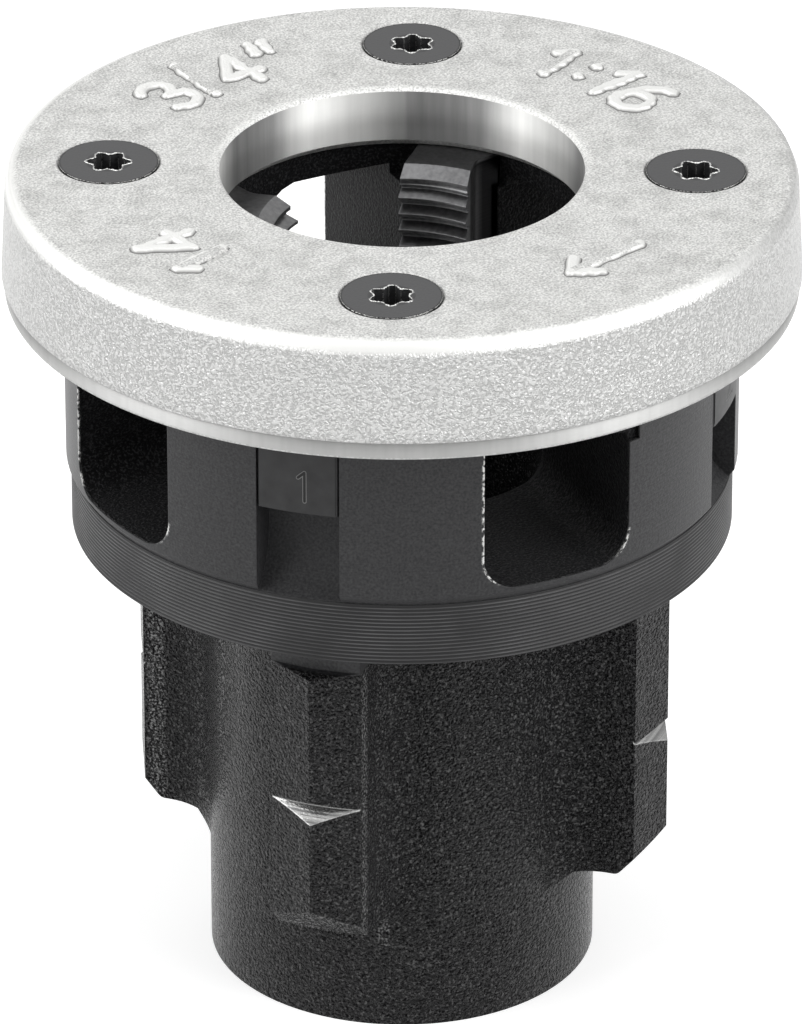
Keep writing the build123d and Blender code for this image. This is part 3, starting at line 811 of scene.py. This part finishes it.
def distance_to(strokes, x, y):
    """Distance from points to the nearest of the strokes' segments, by projection on each segment."""
    starts = np.concatenate([np.asarray(stroke, float)[:-1] for stroke in strokes])
    ends = np.concatenate([np.asarray(stroke, float)[1:] for stroke in strokes])
    spot = np.stack([x, y], axis=-1)[..., None, :]
    along = ends - starts
    part = np.clip(((spot - starts) * along).sum(-1) / np.maximum((along ** 2).sum(-1), 1e-12), 0, 1)
    return np.linalg.norm(spot - starts - part[..., None] * along, axis=-1).min(-1)


def soft_stroke(strokes, x, y, width, slope):
    """1 inside the strokes and 0 outside, falling as half a cosine over the slope's width."""
    past = np.clip((distance_to(strokes, x, y) - width / 2 + slope / 2) / slope, 0, 1)
    return 0.5 + 0.5 * np.cos(np.pi * past)


print("the arc of a 3 has", len(arc(0, 1.6, 1.7, 1.5, 150, -90)), "points")

# %% [markdown]
# The digits are 6.2 mm high, and their points are in millimetres from the digit's middle.

# %% Digits
digits = {
    "1": [[(-1.1, 1.9), (0.2, 3.1), (0.2, -3.1)]],
    "2": [np.concatenate([arc(0, 1.5, 1.7, 1.6, 165, -30), [(-1.8, -3.1)]]), [(-1.8, -3.1), (1.9, -3.1)]],
    "3": [arc(0, 1.6, 1.7, 1.5, 150, -90), arc(0, -1.5, 1.9, 1.6, 90, -150)],
    "4": [[(0.9, -3.1), (0.9, 3.1), (-1.9, -1.2), (2.1, -1.2)]],
    "6": [arc(0, -1.3, 1.8, 1.8, 0, 360, 24), arc(0.9, -0.9, 2.7, 4.0, 180, 95)],
    "slash": [[(-0.9, -3.8), (0.9, 3.8)]],
    "colon": [[(0, 1.4), (0, 1.5)], [(0, -1.4), (0, -1.5)]],
    "inches": [[(-0.75, -1.1), (-0.55, 1.1)], [(0.75, -1.1), (0.95, 1.1)]],
    "arrow": [[(-4.5, 0), (4.5, 0)], [(2.4, 1.9), (4.5, 0), (2.4, -1.9)]],
}
print("digits", list(digits))

# %% [markdown]
# Worn tops are brighter than the blasted face, and the feet of the slopes are painted dark as painted
# shade, so the tone follows the height. The grain is the same as on the cover's face, but lower.

# %% Cast numbers: material
foot_z, worn_z = 86.52 * mm, 86.80 * mm

mark_finish, tree = new_material("rubbed_light_casting")
position, _, height = place_on_head(tree)
fine = add(tree, "TexNoise", {"Vector": position, "Scale": 1 / (0.22 * mm), "Detail": 3.0})
relief = add(tree, "Math", {0: fine, 1: 0.06}, operation="MULTIPLY")
bump = add(tree, "Bump", {"Height": relief, "Distance": mm})
risen = add(tree, "MapRange", {"Value": height, "From Min": foot_z, "From Max": worn_z})
# Painted shade at the feet of the slopes: the tone is dark low down and light on the worn tops.
tone = add(tree, "Mix", {"Factor": risen, "A": "6c6c6b", "B": "e0e0de"}, data_type="RGBA")
roughness = add(tree, "MapRange", {"Value": risen, "To Min": 0.60, "To Max": 0.45})
give_surface(tree, {
    "Base Color": tone, "Metallic": 1.0, "Roughness": roughness, "Normal": bump})
print(mark_finish.name, len(tree.nodes), "nodes")

# %% [markdown]
# The numbers stand with their tops outwards and read clockwise, one mark in each quarter between
# two screws: the pipe's size in inches, the taper, the threads to an inch, and an arrow for the
# way it turns. Two sines of the place bend the strokes a little, as a hand-cut pattern does.
# Angles are in degrees from -Y, and the other sizes of a mark are in millimetres.

# %% Cast numbers
face_z, mark_top, sunk = 86.5 * mm, 86.88 * mm, 0.05 * mm
quarter_middles = (15.6, 105.6, 195.6, 285.6)
stroke_width, stroke_slope, grid_step, margin = 1.25, 0.55, 0.1, 1.3


def cast_number(name, digit, quarter, shift, circle):
    """Height patch: x runs clockwise and y outwards from a circle, z from under the face to the top."""
    strokes = digits[digit]
    reach = np.abs(np.concatenate([np.asarray(s, float) for s in strokes])).max(0) + margin
    x, y = np.meshgrid(np.arange(-reach[0], reach[0], grid_step),
                       np.arange(-reach[1], reach[1], grid_step))
    wobble = 0.10 * np.sin(2.1 * x + 1.3 * y + 3 * quarter) + 0.07 * np.sin(4.3 * y - 2.9 * x + shift)
    level = soft_stroke(strokes, x + wobble, y + 0.6 * wobble, stroke_width, stroke_slope)
    azimuth = np.radians(quarter_middles[quarter] + shift)
    outwards = np.array([np.sin(azimuth), -np.cos(azimuth)])
    clockwise = np.array([-np.cos(azimuth), -np.sin(azimuth)])
    plan = (circle + y)[..., None] * outwards + x[..., None] * clockwise
    z = face_z - sunk + (mark_top - face_z + sunk) * level
    points = np.concatenate([plan * mm, z[..., None]], axis=-1)
    grid_piece(name, points[:, ::-1], mark_finish)


for name, digit, quarter, shift, circle in (
        ("mark_inch_3", "3", 2, 12.5, 28.3), ("mark_inch_slash", "slash", 2, 3.2, 28.7),
        ("mark_inch_4", "4", 2, -6.0, 27.7), ("mark_inch_strokes", "inches", 2, -15.0, 31.1),
        ("mark_taper_1", "1", 1, 13.8, 28.7), ("mark_taper_colon", "colon", 1, 6.5, 28.7),
        ("mark_taper_1_again", "1", 1, -1.0, 28.7), ("mark_taper_6", "6", 1, -10.0, 28.7),
        ("mark_pitch_1", "1", 3, 4.6, 28.7), ("mark_pitch_4", "4", 3, -4.6, 28.7),
        ("mark_arrow", "arrow", 0, 0.0, 28.7)):
    cast_number(name, digit, quarter, shift, circle)

# %% [markdown]
# ## Burrs round the screw recesses
#
# A driver bit has thrown up a thin burr round each six-lobe recess, and it glints. It is a bead
# carried along the rim of the recess: the rim's distance from the screw's axis swings six times
# a turn by a cosine, and sines of many turns make the bead thicker here and thinner there.

# %% Burrs: material
burr_finish, tree = new_material("torn_bright_steel")
position = add(tree, "TexCoord", {}).outputs["Object"]
fine = add(tree, "TexNoise", {"Vector": position, "Scale": 1 / (0.15 * mm)})
relief = add(tree, "Math", {0: fine, 1: 0.05}, operation="MULTIPLY")
bump = add(tree, "Bump", {"Height": relief, "Distance": mm})
tone = add(tree, "Mix", {"Factor": fine, "A": "8a8a89", "B": "f0f0ee"}, data_type="RGBA")
give_surface(tree, {
    "Base Color": tone, "Metallic": 1.0, "Roughness": 0.28, "Normal": bump})
print(burr_finish.name, len(tree.nodes), "nodes")

# %% [markdown]
# The bead is a small circle carried along the wavy rim: one angle goes round the screw, the other
# round the bead.

# %% Burrs
face_height, below_face = 86.5, 0.03
rim_middle, lobe_swing = 1.98, 0.30
bead_middle, bead_swing = 0.075, 0.025


def recess_burr(name, axis_angle, phase):
    """Bead round a recess, its centre at r = 1.98 + 0.30 cos 6a in mm, with a little roughness."""
    a = np.linspace(0, 2 * np.pi, 360, endpoint=False)[None, :]
    b = np.linspace(0, 2 * np.pi, 8, endpoint=False)[:, None]
    rough = np.sin(7 * a + phase) + np.sin(17 * a + 2 * phase) + 0.8 * np.sin(41 * a + 3 * phase)
    bead = bead_middle + bead_swing * rough
    middle = rim_middle + lobe_swing * np.cos(6 * a) + 0.03 * np.sin(23 * a + phase)
    r = middle + bead * np.cos(b)
    z = face_height - below_face + bead * np.sin(b)
    turn = math.radians(axis_angle)
    x = screw_circle * math.cos(turn) + r * np.cos(a + turn)
    y = screw_circle * math.sin(turn) + r * np.sin(a + turn)
    points = np.stack([x, y, z], axis=-1) * mm
    grid_piece(name, points, burr_finish, close_rows=True, close_columns=True)
    print("bead radius", round(bead.min(), 3), "to", round(bead.max(), 3), "mm")


for number, axis_angle in enumerate((-119.4, -29.4, 60.6, 150.6), start=1):
    recess_burr(f"recess_burr_{number}", axis_angle, phase=1.7 * number)

# %% [markdown]
# ## Numbers on the die ends
#
# Each die carries its place in the head, 1 to 4, engraved on its outer end, so that a set goes back in
# order. A thin plate covers the whole end, 0.08 mm proud, and its groove is 0.06 mm deep. The groove's
# floor is painted dark as painted shade and its walls are painted lighter as a painted highlight, which
# draws the number's outline.

# %% Engraved numbers: material
wall_low, wall_high, wall_edge = 33.585 * mm, 33.615 * mm, 0.005 * mm

engraved_finish, tree = new_material("engraved_black_steel")
position, radius, _ = place_on_head(tree)
blotches = add(tree, "TexNoise", {"Vector": position, "Scale": 1 / (1.6 * mm), "Detail": 3.0})
satin = add(tree, "TexNoise", {"Vector": position, "Scale": 1 / (0.8 * mm), "Detail": 3.0})
# Painted highlight on the groove's walls and painted shade on its floor.
painted_lit_wall = between(tree, radius, wall_low, wall_high, wall_edge)
painted_groove_shade = between(tree, radius, 33.0 * mm, wall_low, wall_edge)
mottled = add(tree, "Mix", {"Factor": blotches, "A": "0b0b0c", "B": "323233"}, data_type="RGBA")
tone = add(tree, "Mix", {"Factor": painted_lit_wall, "A": mottled, "B": "6a6a6a"}, data_type="RGBA")
tone = add(tree, "Mix", {"Factor": painted_groove_shade, "A": tone, "B": "060606"}, data_type="RGBA")
roughness = add(tree, "MapRange", {"Value": satin, "To Min": 0.34, "To Max": 0.50})
give_surface(tree, {
    "Base Color": tone, "Specular IOR Level": 0.3, "Roughness": roughness})
print(engraved_finish.name, len(tree.nodes), "nodes")

# %% [markdown]
# The plate is a grid bent round the axis of the head, fine enough for the groove's walls. It uses
# the same strokes as the cast numbers, at half their size.

# %% Engraved numbers
plate_radius, groove_depth = 33.63, 0.06
plate_half, plate_low, plate_high = 3.85, 64.75, 74.1
number_x, number_z, number_scale = 0.7, 67.6, 0.5
cut_width, cut_slope = 0.34, 0.20


def engraved_number(name, digit, azimuth):
    """Patch on a cylinder: x to the right along it, z up, radius lowered along the digit's strokes."""
    x, z = np.meshgrid(np.linspace(-plate_half, plate_half, 155), np.linspace(plate_low, plate_high, 190))
    strokes = [np.asarray(stroke, float) * number_scale for stroke in digits[digit]]
    groove = soft_stroke(strokes, x - number_x, z - number_z, cut_width, cut_slope)
    r = plate_radius - groove_depth * groove
    turn = math.radians(azimuth) + x / plate_radius
    points = np.stack([r * np.sin(turn), -r * np.cos(turn), z], axis=-1) * mm
    grid_piece(name, points, engraved_finish)


for number, azimuth in enumerate((-45, 45, 135, 225), start=1):
    engraved_number(f"die_number_{number}", str(number), azimuth)
